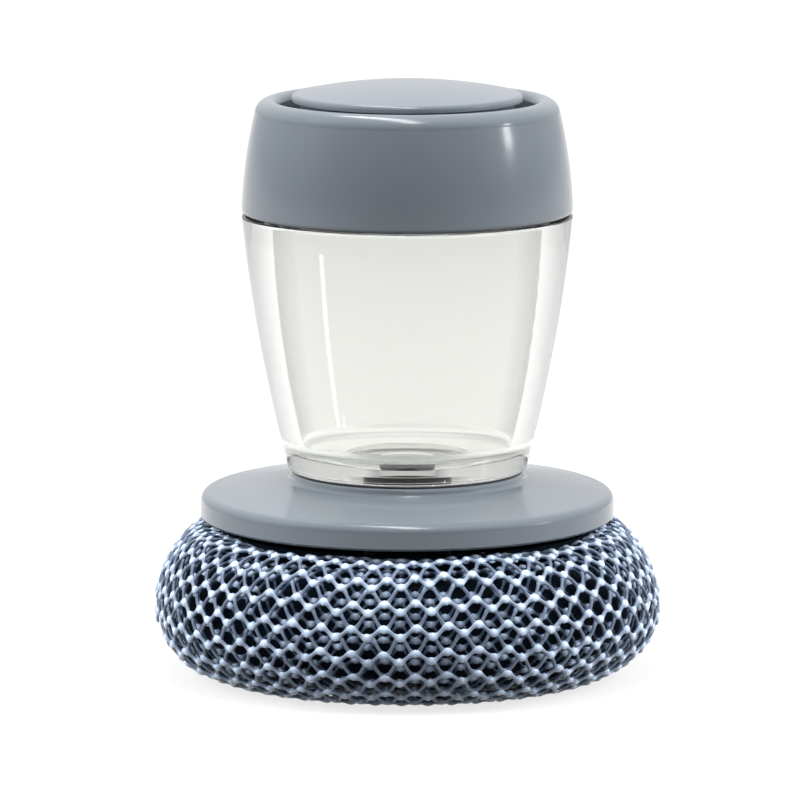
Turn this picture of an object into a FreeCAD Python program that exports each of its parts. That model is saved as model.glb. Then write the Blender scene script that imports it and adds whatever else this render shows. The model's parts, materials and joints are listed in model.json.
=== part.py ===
import FreeCAD, Part
import math
import os
import re

import Sketcher

# Palm scrubber with a soap tank. Millimetres, +Z up, origin on the table under the middle of the bun.
# Every profile is drawn as radius and height and turned about the part's own axis.

LEFT = 1
RIGHT = -1

# Driving dimensions: name, value, meaning.
SIZES = (
    ("ball_radius", 44.0, "widest radius of the mesh bun"),
    ("ball_height", 26.7, "height of the bun's top face"),
    ("ball_equator", 12.2, "height of the bun's widest ring, and the round of its lower edge"),
    ("ball_shoulder", 0.35, "how far the bun's top face reaches past the plate"),
    ("soft_gap", 0.3, "clearance round the soft bun and its tie"),
    ("seat_gap", 0.05, "clearance between flat faces that seat on each other"),
    ("turn_gap", 0.3, "clearance between round faces that turn or slide"),
    ("hub_radius", 7.5, "outside of the hub's tube"),
    ("hub_bore", 4.5, "soap way through the hub"),
    ("hub_flange", 16.0, "radius of the hub's foot"),
    ("hub_flange_height", 2.0, "thickness of the hub's foot"),
    ("hub_foot", 2.4, "height of the hub's foot over the table"),
    ("hub_flare", 1.0, "flare of the outlet and round of the hub's foot"),
    ("snap_depth", 0.35, "height of the hub's snap bead"),
    ("snap_height", 1.6, "width of the hub's snap bead"),
    ("snap_drop", 2.2, "distance of the bead from the hub's end"),
    ("tie_rise", 6.0, "height of the tie over the hub's foot"),
    ("tie_height", 3.0, "width of the tie's band"),
    ("plate_radius", 35.65, "radius of the plate"),
    ("plate_thickness", 4.5, "height of the plate's edge"),
    ("plate_skin", 2.0, "wall of the plate"),
    ("plate_round", 1.6, "round of the plate's top edge"),
    ("plate_rise", 1.9, "rise of the plate's top from its edge to the collar"),
    ("plate_lip", 0.4, "bevel of the plate's lower edge"),
    ("boss_depth", 6.3, "length of the socket that takes the hub"),
    ("boss_wall", 2.0, "wall of that socket"),
    ("hub_fit", 0.2, "clearance of the hub in its socket"),
    ("rib_count", 8, "stiffening ribs under the plate"),
    ("rib_width", 1.5, "thickness of a rib"),
    ("rib_rise", 0.3, "height of a rib's edge over the plate's lower edge"),
    ("collar_height", 3.4, "height of the collar over the plate's edge"),
    ("collar_fillet", 0.9, "fillet at the collar's foot"),
    ("collar_edge", 0.4, "round of the collar's top edge"),
    ("port_radius", 5.6, "soap way through the plate"),
    ("gasket_show", 0.4, "gap between collar and tank, where the gasket shows"),
    ("gasket_seat", 0.6, "depth of the gasket's recess"),
    ("gasket_width", 1.1, "width of the gasket"),
    ("gasket_rim", 0.5, "wall outside the gasket's recess"),
    ("gasket_wall", 0.3, "wall inside the gasket's recess"),
    ("gasket_fit", 0.1, "clearance beside the gasket"),
    ("spigot_radius", 16.0, "outside of the tank's spigot"),
    ("spigot_wall", 2.2, "wall of the spigot"),
    ("spigot_depth", 4.4, "length of the spigot"),
    ("spigot_clear", 0.6, "clearance under the spigot"),
    ("lug_count", 3, "bayonet lugs"),
    ("lug_reach", 1.7, "how far a lug stands out of the spigot"),
    ("lug_height", 1.8, "height of a lug"),
    ("lug_angle", 32.0, "width of a lug in degrees"),
    ("lug_clear", 0.4, "clearance outside the lugs"),
    ("ledge_height", 1.8, "thickness of the ledge over the lugs"),
    ("twist_angle", 50.0, "turn from locked to free in degrees"),
    ("slot_margin", 4.0, "clearance on each side of a lug in its slot in degrees"),
    ("stop_angle", 5.0, "width of a stop in degrees"),
    ("stop_gap", 1.5, "clearance of a lug before its stop in degrees"),
    ("tank_height", 44.2, "height of the clear wall"),
    ("foot_reach", 0.5, "how far the clear wall's foot stands out over the collar"),
    ("tank_foot_round", 0.8, "round of the tank's foot"),
    ("tank_top_round", 0.5, "round of the tank's top edge"),
    ("tank_bulge", 0.87, "swell of the clear wall over a straight cone"),
    ("tank_floor", 2.6, "thickness of the tank's floor at its outlet"),
    ("floor_fall", 1.4, "fall of the tank's floor from its edge to the outlet"),
    ("tank_wall", 2.5, "thickness of the clear wall at its foot"),
    ("tank_well_round", 1.5, "round between floor and wall inside"),
    ("well_bulge", 1.0, "swell of the hollow over a straight cone"),
    ("neck_radius", 25.1, "outside of the neck, without its thread"),
    ("neck_wall", 2.0, "wall of the neck"),
    ("thread_depth", 0.6, "room for the screw thread between neck and cap"),
    ("neck_height", 6.5, "height of the neck"),
    ("neck_edge", 0.4, "bevel of the neck's top edge"),
    ("outlet_radius", 5.0, "hole in the tank's floor"),
    ("valve_boss", 10.0, "outside of the boss round the valve"),
    ("valve_boss_depth", 4.0, "length of that boss"),
    ("valve_pocket", 7.6, "inside of that boss"),
    ("valve_sink", 1.4, "how far the valve's pocket reaches up into the floor"),
    ("valve_fit", 0.1, "clearance of valve and ring in the boss"),
    ("valve_flange_height", 1.1, "thickness of the valve's flange"),
    ("valve_dome", 3.2, "radius of the valve's dome"),
    ("valve_wall", 0.8, "wall of the dome"),
    ("slit_length", 3.4, "length of each slit in the dome"),
    ("slit_width", 0.2, "width of a slit"),
    ("slit_arms", 4, "arms of the two crossed slits"),
    ("ring_height", 2.2, "height of the valve's ring"),
    ("seam_gap", 0.2, "gap between tank and cap"),
    ("cap_height", 19.8, "height of the rim's crest over the seam"),
    ("cap_edge", 0.9, "round of the cap's lower edge"),
    ("cap_wall", 2.45, "wall of the cap at the seam"),
    ("cap_ledge_width", 2.4, "width of the ledge that holds the pump plate down"),
    ("rim_wall", 2.6, "wall of the cap where it rolls over into its rim"),
    ("cap_bulge", 0.4, "swell of the cap's wall over a straight cone"),
    ("cap_roll", 2.6, "radius of the roll outside the crest"),
    ("cap_roll_drop", 2.4, "height of that roll"),
    ("crest_reach", 1.9, "distance of the rim's crest from the opening"),
    ("rim_roll", 1.7, "radius of the roll inside the crest"),
    ("rim_roll_drop", 1.3, "height of that roll"),
    ("rim_lip", 3.6, "thickness of the lip that holds the button"),
    ("moat", 2.3, "gap round the button"),
    ("liner_height", 1.0, "thickness of the neck's gasket"),
    ("pump_plate_height", 1.8, "thickness of the pump plate"),
    ("plug_depth", 3.5, "length of the pump plate's plug"),
    ("plug_wall", 1.4, "wall of the plug"),
    ("plug_gap", 0.6, "clearance of the plug in the neck"),
    ("air_hole", 1.5, "radius of an air hole"),
    ("air_ring", 5.0, "radius of the ring of air holes"),
    ("air_count", 4, "air holes"),
    ("vent_stem", 1.0, "radius of the vent valve's stem"),
    ("vent_fit", 0.2, "clearance of the stem in its hole"),
    ("vent_bulb", 1.4, "radius of the bulb that holds the valve"),
    ("vent_bulb_height", 1.3, "height of that bulb"),
    ("vent_flap", 1.9, "radius of the valve's flap"),
    ("vent_flap_height", 0.8, "thickness of the flap"),
    ("vent_inset", 0.4, "distance of the flap from the plug"),
    ("bellows_clear", 2.55, "gap between bellows and spring"),
    ("bellows_folds", 2, "folds of the bellows"),
    ("bellows_fold", 2.3, "depth of a fold"),
    ("bellows_wall", 1.2, "wall of the bellows"),
    ("bellows_edge", 0.65, "how far the bellows' flange reaches past the spring"),
    ("bellows_flange_height", 1.0, "thickness of flange and top"),
    ("spring_clear", 0.95, "gap between the spring and the button's skirt"),
    ("spring_wire", 0.9, "thickness of the wire"),
    ("spring_turns", 4, "turns of the spring"),
    ("button_stand", 1.0, "height of the button's edge over the crest"),
    ("button_dome", 2.0, "rise of the button's dome"),
    ("button_edge", 0.8, "round of the disc's upper edge"),
    ("button_disc", 1.2, "height of the disc's edge"),
    ("button_overhang", 1.4, "how far the disc stands out over the skirt"),
    ("button_wall", 2.0, "wall of the dome"),
    ("button_skirt_wall", 1.5, "wall of the skirt"),
    ("button_flange", 1.2, "how far the flange reaches under the lip"),
    ("button_flange_height", 1.2, "thickness of the flange"),
    ("button_seat_wall", 1.7, "thickness over the spring's top turn"),
    ("button_recess", 0.5, "clearance round the top of the bellows"),
)

# Places and fits that follow from the driving dimensions, from the table upwards.
LEVELS = (
    ("shoulder_radius", "plate_radius + ball_shoulder"),
    ("shoulder_reach", "ball_radius - shoulder_radius"),
    ("shoulder_round", "(shoulder_reach^2 + (ball_height - ball_equator)^2) / (2 * shoulder_reach)"),
    ("hub_flange_top", "hub_foot + hub_flange_height"),
    ("hub_socket", "hub_radius + hub_fit"),
    ("boss_radius", "hub_socket + boss_wall"),
    ("ball_bore", "boss_radius + soft_gap"),
    ("ball_recess", "hub_flange + 2 * soft_gap"),
    ("ball_recess_top", "hub_flange_top + soft_gap"),
    ("tie_bottom", "hub_flange_top + tie_rise"),
    ("plate_bottom", "ball_height + soft_gap"),
    ("plate_top", "plate_bottom + plate_thickness"),
    ("plate_crown", "plate_top + plate_rise"),
    ("skin_under", "plate_top - plate_skin"),
    ("skirt_inside", "plate_radius - plate_skin"),
    ("collar_top", "plate_top + collar_height"),
    ("tank_bottom", "collar_top + gasket_show"),
    ("gasket_bottom", "collar_top - gasket_seat"),
    ("spigot_bottom", "tank_bottom - spigot_depth"),
    ("socket_floor", "spigot_bottom - spigot_clear"),
    ("socket_under", "socket_floor - plate_skin"),
    ("boss_bottom", "socket_under - boss_depth"),
    ("hub_top", "socket_under - seat_gap"),
    ("bead_top", "hub_top - snap_drop"),
    ("bead_bottom", "bead_top - snap_height"),
    ("ledge_under", "collar_top - ledge_height"),
    ("ledge_bore", "spigot_radius + turn_gap"),
    ("lug_radius", "spigot_radius + lug_reach"),
    ("lug_race", "lug_radius + lug_clear"),
    ("gasket_inside", "lug_race + gasket_wall"),
    ("gasket_outside", "gasket_inside + gasket_width + 2 * gasket_fit"),
    ("collar_radius", "gasket_outside + gasket_rim"),
    ("lug_top", "ledge_under - turn_gap"),
    ("lug_bottom", "lug_top - lug_height"),
    ("slot_angle", "lug_angle + 2 * slot_margin"),
    ("stop_turn", "lug_angle / 2 + stop_gap + stop_angle / 2"),
    ("seam", "tank_bottom + tank_height"),
    ("floor_low", "tank_bottom + tank_floor"),
    ("floor_edge", "floor_low + floor_fall"),
    ("pocket_top", "tank_bottom + valve_sink"),
    ("neck_top", "seam + neck_height"),
    ("neck_bore", "neck_radius - neck_wall"),
    ("tank_foot", "collar_radius + foot_reach"),
    ("tank_well", "tank_foot - tank_wall"),
    ("cap_bore", "neck_radius + thread_depth + turn_gap"),
    ("tank_top", "cap_bore + cap_wall"),
    ("well_rise", "seam - floor_edge - tank_well_round"),
    ("well_chord", "(well_rise^2 + (neck_bore - tank_well)^2)^0.5"),
    ("well_curve", "well_chord^2 / (8 * well_bulge) + well_bulge / 2"),
    ("wall_rise", "tank_height - tank_foot_round - tank_top_round"),
    ("wall_chord", "(wall_rise^2 + (tank_top - tank_foot)^2)^0.5"),
    ("wall_curve", "wall_chord^2 / (8 * tank_bulge) + tank_bulge / 2"),
    ("valve_top", "pocket_top - seat_gap"),
    ("valve_under", "valve_top - valve_flange_height"),
    ("valve_flange", "valve_pocket - valve_fit"),
    ("valve_inside", "valve_dome - valve_wall"),
    ("ring_top", "valve_under - seat_gap"),
    ("liner_bottom", "neck_top + seat_gap"),
    ("pump_under", "liner_bottom + liner_height + seat_gap"),
    ("pump_top", "pump_under + pump_plate_height"),
    ("pump_radius", "cap_bore - turn_gap"),
    ("plug_outside", "neck_bore - plug_gap"),
    ("plug_inside", "plug_outside - plug_wall"),
    ("vent_place", "plug_inside - vent_flap - vent_inset"),
    ("cap_bottom", "seam + seam_gap"),
    ("cap_ledge", "pump_top + seat_gap"),
    ("crest", "seam + cap_height"),
    ("chamber", "cap_bore - cap_ledge_width"),
    ("cap_top", "chamber + rim_wall"),
    ("flange_radius", "chamber - turn_gap"),
    ("rim_opening", "flange_radius - button_flange"),
    ("rim_crest", "rim_opening + crest_reach"),
    ("button_radius", "rim_opening - moat"),
    ("cap_rise", "cap_height - seam_gap - cap_edge - cap_roll_drop"),
    ("cap_chord", "(cap_rise^2 + (tank_top - cap_top)^2)^0.5"),
    ("cap_curve", "cap_chord^2 / (8 * cap_bulge) + cap_bulge / 2"),
    ("lip_under", "crest - rim_lip"),
    ("flange_top", "lip_under - seat_gap"),
    ("flange_bottom", "flange_top - button_flange_height"),
    ("button_shoulder", "button_radius - button_edge"),
    ("button_rim", "crest + button_stand"),
    ("button_apex", "button_rim + button_dome"),
    ("dome_curve", "(button_shoulder^2 + button_dome^2) / (2 * button_dome)"),
    ("button_under", "button_rim - button_disc"),
    ("button_skirt", "button_radius - button_overhang"),
    ("button_inside", "button_skirt - button_skirt_wall"),
    ("spring_radius", "button_inside - spring_clear - spring_wire / 2"),
    ("bellows_radius", "spring_radius - spring_wire / 2 - bellows_clear"),
    ("bellows_flange", "spring_radius + spring_wire / 2 + bellows_edge"),
    ("spring_ceiling", "button_rim - button_seat_wall"),
    ("crown_ceiling", "button_apex - button_wall"),
    ("crown_radius", "bellows_radius + button_recess"),
    ("bellows_bottom", "pump_top + seat_gap"),
    ("bellows_start", "bellows_bottom + bellows_flange_height"),
    ("bellows_top", "crown_ceiling - seat_gap"),
    ("bellows_end", "bellows_top - bellows_flange_height"),
    ("bellows_step", "(bellows_end - bellows_start) / (2 * bellows_folds)"),
    ("spring_bottom", "bellows_start + seat_gap"),
    ("spring_top", "spring_ceiling - seat_gap"),
)

doc = FreeCAD.newDocument("PalmScrubber")


def make_sheet():
    """Write the driving dimensions as plain numbers, and what follows from them as formulas."""
    table = doc.addObject("Spreadsheet::Sheet", "Sizes")
    rows = [(name, str(number), note) for name, number, note in SIZES]
    rows += [(name, "=" + formula, "") for name, formula in LEVELS]
    for row, (name, content, note) in enumerate(rows, start=1):
        table.set(f"A{row}", note or name)
        table.set(f"B{row}", content)
        table.setAlias(f"B{row}", name)
    doc.recompute()
    return table


sheet = make_sheet()


def bound(text):
    """Turn the names in a formula into references to the sheet."""
    return re.sub(r"[a-z][a-z_]*", lambda match: "Sizes." + match.group(0), text)


def value(text):
    return float(sheet.evalExpression(bound(text)))


def new_body(label):
    body = doc.addObject("PartDesign::Body", label)
    body.Label = label
    return body


def origin_feature(body, role):
    return next(item for item in body.Origin.OriginFeatures if item.Role == role)


def new_sketch(body, name, plane, turn=None):
    """A sketch on one of the body's own planes, turned about the part's axis where it lies off it."""
    sketch = body.newObject("Sketcher::SketchObject", name)
    sketch.AttachmentSupport = (origin_feature(body, plane), [""])
    sketch.MapMode = "FlatFace"
    if turn:
        sketch.AttachmentOffset = FreeCAD.Placement(
            FreeCAD.Vector(), FreeCAD.Rotation(FreeCAD.Vector(0, 1, 0), value(turn)))
        sketch.setExpression("AttachmentOffset.Rotation.Angle", bound(turn))
    return sketch


def constrain(sketch, constraint, text):
    index = sketch.addConstraint(constraint)
    sketch.setExpression(f"Constraints[{index}]", bound(text))


def pin(sketch, item, end, text, kind, axis):
    """Hold a point at a formula's distance, or on the axis where the formula is plain 0."""
    if text == "0":
        sketch.addConstraint(Sketcher.Constraint("PointOnObject", item, end, axis))
    else:
        constrain(sketch, Sketcher.Constraint(kind, -1, 1, item, end, value(text)), text)


def pin_across(sketch, item, end, across):
    pin(sketch, item, end, across, "DistanceX", -2)


def pin_point(sketch, item, end, across, up):
    pin_across(sketch, item, end, across)
    pin(sketch, item, end, up, "DistanceY", -1)


def arc_between(start, end, radius, side):
    """The arc under half a circle from start to end, with its centre on the given side of the way."""
    chord = end - start
    half = chord.Length / 2
    normal = FreeCAD.Vector(-chord.y, chord.x, 0).normalize()
    centre = (start + end) * 0.5 + normal * (side * math.sqrt(max(radius ** 2 - half ** 2, 0)))
    first, last = (start, end) if side == LEFT else (end, start)
    angles = [math.atan2(point.y - centre.y, point.x - centre.x) for point in (first, last)]
    return Part.ArcOfCircle(Part.Circle(centre, FreeCAD.Vector(0, 0, 1), radius), *angles)


def draw_outline(sketch, corners):
    """Draw a closed outline. A corner with a radius and a side starts an arc to the next corner."""
    points = [FreeCAD.Vector(value(corner[0]), value(corner[1]), 0) for corner in corners]
    ends = []
    for index, corner in enumerate(corners):
        start, end = points[index], points[(index + 1) % len(points)]
        if len(corner) == 2:
            sketch.addGeometry(Part.LineSegment(start, end))
            ends.append((1, 2))
        else:
            sketch.addGeometry(arc_between(start, end, value(corner[2]), corner[3]))
            ends.append((1, 2) if corner[3] == LEFT else (2, 1))
    for index, corner in enumerate(corners):
        follower = (index + 1) % len(corners)
        sketch.addConstraint(
            Sketcher.Constraint("Coincident", index, ends[index][1], follower, ends[follower][0]))
    for index, corner in enumerate(corners):
        pin_point(sketch, index, ends[index][0], corner[0], corner[1])
        if len(corner) > 2:
            constrain(sketch, Sketcher.Constraint("Radius", index, value(corner[2])), corner[2])


def turn_profile(body, name, corners, kind="Revolution", angle=None, turn=None):
    """Turn an outline of radius and height about the axis, all round or through a centred angle."""
    sketch = new_sketch(body, name + "Sketch", "XZ_Plane", turn)
    draw_outline(sketch, corners)
    doc.recompute()
    feature = body.newObject("PartDesign::" + kind, name)
    feature.Profile = sketch
    feature.ReferenceAxis = (sketch, ["V_Axis"])
    feature.Angle = 360
    if angle:
        feature.Midplane = True
        feature.setExpression("Angle", bound(angle))
    body.Tip = feature
    doc.recompute()
    return feature


def box_corners(inside, outside, bottom, top):
    return [(inside, bottom), (outside, bottom), (outside, top), (inside, top)]


def repeat_round(body, name, features, count):
    """Repeat features evenly about the axis."""
    pattern = body.newObject("PartDesign::PolarPattern", name)
    pattern.Originals = features
    pattern.Axis = (origin_feature(body, "Z_Axis"), [""])
    pattern.Angle = 360
    pattern.setExpression("Occurrences", bound(count))
    body.Tip = pattern
    doc.recompute()
    return pattern


def cut_through(body, name, sketch):
    """Cut a sketch on the table plane straight through the body, and make sure that it cut."""
    before = body.Tip.Shape.Volume
    pocket = body.newObject("PartDesign::Pocket", name)
    pocket.Profile = sketch
    pocket.Type = "ThroughAll"
    pocket.Reversed = True
    body.Tip = pocket
    doc.recompute()
    if pocket.Shape.Volume >= before:
        raise RuntimeError(name + " cuts nothing")
    return pocket


def draw_circle(sketch, across, radius):
    """A circle on the sketch's horizontal axis."""
    centre = FreeCAD.Vector(value(across), 0, 0)
    item = sketch.addGeometry(Part.Circle(centre, FreeCAD.Vector(0, 0, 1), value(radius)))
    pin_point(sketch, item, 3, across, "0")
    constrain(sketch, Sketcher.Constraint("Radius", item, value(radius)), radius)


def draw_rectangle(sketch, left, right, half_height):
    """A rectangle from left to right, centred on the sketch's horizontal axis."""
    low, high = -value(half_height), value(half_height)
    points = [FreeCAD.Vector(value(left), low, 0), FreeCAD.Vector(value(right), low, 0),
              FreeCAD.Vector(value(right), high, 0), FreeCAD.Vector(value(left), high, 0)]
    lower, near, upper, far = [
        sketch.addGeometry(Part.LineSegment(points[side], points[(side + 1) % 4])) for side in range(4)]
    for side, follower in ((lower, near), (near, upper), (upper, far), (far, lower)):
        sketch.addConstraint(Sketcher.Constraint("Coincident", side, 2, follower, 1))
    sketch.addConstraint(Sketcher.Constraint("Horizontal", lower))
    sketch.addConstraint(Sketcher.Constraint("Horizontal", upper))
    sketch.addConstraint(Sketcher.Constraint("Vertical", far))
    sketch.addConstraint(Sketcher.Constraint("Symmetric", near, 1, near, 2, -1))
    constrain(sketch, Sketcher.Constraint("DistanceY", near, 1, near, 2, 2 * high), f"2 * {half_height}")
    pin_across(sketch, far, 1, left)
    pin_across(sketch, near, 1, right)


def mesh_scrubber():
    """The bun's outer form: round below, drawn in under the plate, bored for the hub and its foot."""
    body = new_body("mesh_scrubber")
    turn_profile(body, "Bun", [
        ("ball_recess", "0"),
        ("ball_radius - ball_equator", "0", "ball_equator", LEFT),
        ("ball_radius", "ball_equator", "shoulder_round", LEFT),
        ("shoulder_radius", "ball_height"),
        ("ball_bore", "ball_height"),
        ("ball_bore", "ball_recess_top"),
        ("ball_recess", "ball_recess_top"),
    ])
    return body


def hub_clamp():
    """Hollow spigot with a foot below the bun and a snap bead that clicks into the plate."""
    body = new_body("hub_clamp")
    turn_profile(body, "Hub", [
        ("hub_bore + hub_flare", "hub_foot"),
        ("hub_flange - hub_flare", "hub_foot", "hub_flare", LEFT),
        ("hub_flange", "hub_foot + hub_flare"),
        ("hub_flange", "hub_flange_top"),
        ("hub_radius", "hub_flange_top"),
        ("hub_radius", "bead_bottom"),
        ("hub_radius + snap_depth", "bead_bottom + snap_height / 3"),
        ("hub_radius + snap_depth", "bead_top - snap_height / 3"),
        ("hub_radius", "bead_top"),
        ("hub_radius", "hub_top"),
        ("hub_bore", "hub_top"),
        ("hub_bore", "hub_foot + hub_flare"),
    ])
    return body


def gather_tie():
    """Band that gathers the knit round the hub."""
    body = new_body("gather_tie")
    turn_profile(body, "Band", box_corners(
        "hub_radius + soft_gap", "ball_bore - soft_gap", "tie_bottom", "tie_bottom + tie_height"))
    return body


def base_plate():
    """Hollow disc with a rising top, a socket for the hub below and the collar with its race above."""
    body = new_body("base_plate")
    turn_profile(body, "Disc", [
        ("hub_socket", "boss_bottom"),
        ("boss_radius", "boss_bottom"),
        ("boss_radius", "socket_under"),
        ("collar_radius", "socket_under"),
        ("collar_radius", "skin_under"),
        ("skirt_inside", "skin_under"),
        ("skirt_inside", "plate_bottom"),
        ("plate_radius - plate_lip", "plate_bottom"),
        ("plate_radius", "plate_bottom + plate_lip"),
        ("plate_radius", "plate_top - plate_round", "plate_round", LEFT),
        ("plate_radius - plate_round", "plate_top"),
        ("collar_radius + collar_fillet", "plate_crown", "collar_fillet", RIGHT),
        ("collar_radius", "plate_crown + collar_fillet"),
        ("collar_radius", "collar_top - collar_edge", "collar_edge", LEFT),
        ("collar_radius - collar_edge", "collar_top"),
        ("gasket_outside", "collar_top"),
        ("gasket_outside", "gasket_bottom"),
        ("gasket_inside", "gasket_bottom"),
        ("gasket_inside", "collar_top"),
        ("ledge_bore", "collar_top"),
        ("ledge_bore", "ledge_under"),
        ("lug_race", "ledge_under"),
        ("lug_race", "socket_floor"),
        ("port_radius", "socket_floor"),
        ("port_radius", "socket_under"),
        ("hub_socket", "socket_under"),
        ("hub_socket", "bead_top + hub_fit"),
        ("hub_socket + snap_depth", "bead_top + hub_fit"),
        ("hub_socket + snap_depth", "bead_bottom - hub_fit"),
        ("hub_socket", "bead_bottom - hub_fit"),
    ])
    slot = turn_profile(body, "EntrySlot", box_corners(
        "ledge_bore - turn_gap", "lug_race", "ledge_under - turn_gap", "collar_top + turn_gap"),
        kind="Groove", angle="slot_angle", turn="-twist_angle")
    repeat_round(body, "EntrySlots", [slot], "lug_count")
    stop_box = box_corners("ledge_bore", "lug_race + lug_clear", "socket_floor", "ledge_under")
    stops = [
        turn_profile(body, "LockStop", stop_box, angle="stop_angle", turn="stop_turn"),
        turn_profile(body, "FreeStop", stop_box, angle="stop_angle", turn="-(twist_angle + stop_turn)"),
    ]
    repeat_round(body, "Stops", stops, "lug_count")
    add_ribs(body)
    return body


def add_ribs(body):
    """Radial ribs between the socket's wall and the skirt, under the plate's skin."""
    sketch = new_sketch(body, "RibSketch", "XY_Plane")
    sketch.AttachmentOffset.Base.z = value("plate_bottom + rib_rise")
    sketch.setExpression("AttachmentOffset.Base.z", bound("plate_bottom + rib_rise"))
    draw_rectangle(
        sketch, "collar_radius - plate_skin / 2", "skirt_inside + plate_skin / 2", "rib_width / 2")
    doc.recompute()
    rib = body.newObject("PartDesign::Pad", "Rib")
    rib.Profile = sketch
    rib.setExpression("Length", bound("skin_under + plate_skin / 2 - plate_bottom - rib_rise"))
    body.Tip = rib
    doc.recompute()
    repeat_round(body, "Ribs", [rib], "rib_count")


def seat_gasket():
    """Soft ring in the collar's recess that the tank presses on."""
    body = new_body("seat_gasket")
    turn_profile(body, "Ring", box_corners(
        "gasket_inside + gasket_fit", "gasket_outside - gasket_fit",
        "gasket_bottom + seat_gap", "tank_bottom - seat_gap"))
    return body


def soap_tank():
    """Thick clear cup: swelling wall, sloping floor, neck, valve boss, and spigot with bayonet lugs."""
    body = new_body("soap_tank")
    turn_profile(body, "Cup", [
        ("outlet_radius", "pocket_top"),
        ("valve_pocket", "pocket_top"),
        ("valve_pocket", "tank_bottom - valve_boss_depth"),
        ("valve_boss", "tank_bottom - valve_boss_depth"),
        ("valve_boss", "tank_bottom"),
        ("spigot_radius - spigot_wall", "tank_bottom"),
        ("spigot_radius - spigot_wall", "spigot_bottom"),
        ("spigot_radius", "spigot_bottom"),
        ("spigot_radius", "tank_bottom"),
        ("tank_foot - tank_foot_round", "tank_bottom", "tank_foot_round", LEFT),
        ("tank_foot", "tank_bottom + tank_foot_round", "wall_curve", LEFT),
        ("tank_top", "seam - tank_top_round", "tank_top_round", LEFT),
        ("tank_top - tank_top_round", "seam"),
        ("neck_radius", "seam"),
        ("neck_radius", "neck_top - neck_edge"),
        ("neck_radius - neck_edge", "neck_top"),
        ("neck_bore", "neck_top"),
        ("neck_bore", "seam", "well_curve", RIGHT),
        ("tank_well", "floor_edge + tank_well_round", "tank_well_round", RIGHT),
        ("tank_well - tank_well_round", "floor_edge"),
        ("outlet_radius", "floor_low"),
    ])
    lug = turn_profile(body, "Lug", box_corners(
        "spigot_radius - spigot_wall / 2", "lug_radius", "lug_bottom", "lug_top"), angle="lug_angle")
    repeat_round(body, "Lugs", [lug], "lug_count")
    return body


def outlet_valve():
    """Soft flanged dome with two crossed slits that open under pressure."""
    body = new_body("outlet_valve")
    turn_profile(body, "Dome", [
        ("0", "valve_under - valve_dome", "valve_dome", LEFT),
        ("valve_dome", "valve_under"),
        ("valve_flange", "valve_under"),
        ("valve_flange", "valve_top"),
        ("valve_inside", "valve_top"),
        ("valve_inside", "valve_under", "valve_inside", RIGHT),
        ("0", "valve_under - valve_inside"),
    ])
    sketch = new_sketch(body, "SlitSketch", "XY_Plane")
    draw_rectangle(sketch, "0", "slit_length / 2", "slit_width / 2")
    doc.recompute()
    slit = cut_through(body, "Slit", sketch)
    repeat_round(body, "Slits", [slit], "slit_arms")
    return body


def valve_ring():
    """Ring that holds the valve's flange against the tank's floor."""
    body = new_body("valve_ring")
    turn_profile(body, "Ring", box_corners(
        "valve_dome + valve_fit", "valve_pocket - valve_fit", "ring_top - ring_height", "ring_top"))
    return body


def cap_gasket():
    """Loose liner ring on top of the neck."""
    body = new_body("cap_gasket")
    turn_profile(body, "Liner", box_corners(
        "neck_bore", "neck_radius - neck_edge", "liner_bottom", "liner_bottom + liner_height"))
    return body


def cap_shell():
    """Screw cap: swelling wall, rolled rim, lip over the button's flange, ledge over the pump plate."""
    body = new_body("cap_shell")
    turn_profile(body, "Shell", [
        ("cap_bore", "cap_bottom"),
        ("tank_top - cap_edge", "cap_bottom", "cap_edge", LEFT),
        ("tank_top", "cap_bottom + cap_edge", "cap_curve", LEFT),
        ("cap_top", "crest - cap_roll_drop", "cap_roll", LEFT),
        ("rim_crest", "crest", "rim_roll", LEFT),
        ("rim_opening", "crest - rim_roll_drop"),
        ("rim_opening", "lip_under"),
        ("chamber", "lip_under"),
        ("chamber", "cap_ledge"),
        ("cap_bore", "cap_ledge"),
    ])
    return body


def pump_plate():
    """Disc that closes the neck, with a plug, a ring of air holes and the vent valve's hole."""
    body = new_body("pump_plate")
    turn_profile(body, "Disc", [
        ("0", "pump_under"),
        ("plug_inside", "pump_under"),
        ("plug_inside", "pump_under - plug_depth"),
        ("plug_outside", "pump_under - plug_depth"),
        ("plug_outside", "pump_under"),
        ("pump_radius", "pump_under"),
        ("pump_radius", "pump_top"),
        ("0", "pump_top"),
    ])
    vent = new_sketch(body, "VentSketch", "XY_Plane")
    draw_circle(vent, "vent_place", "vent_stem + vent_fit")
    doc.recompute()
    cut_through(body, "VentHole", vent)
    air = new_sketch(body, "AirSketch", "XY_Plane")
    draw_circle(air, "air_ring", "air_hole")
    doc.recompute()
    hole = cut_through(body, "AirHole", air)
    repeat_round(body, "AirHoles", [hole], "air_count")
    return body


def pump_bellows():
    """Soft folded bellows, flanged on the pump plate and closed under the button."""
    body = new_body("pump_bellows")
    outside = []
    inside = []
    for crease in range(2 * round(value("bellows_folds")) + 1):
        depth = " - bellows_fold" if crease % 2 else ""
        level = f"bellows_start + {crease} * bellows_step"
        outside.append(("bellows_radius" + depth, level))
        inside.append(("bellows_radius - bellows_wall" + depth, level))
    turn_profile(body, "Folds", [
        ("bellows_radius - bellows_wall", "bellows_bottom"),
        ("bellows_flange", "bellows_bottom"),
        ("bellows_flange", "bellows_start"),
        *outside,
        ("bellows_radius", "bellows_top"),
        ("0", "bellows_top"),
        ("0", "bellows_end"),
        *reversed(inside),
    ])
    return body


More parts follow.
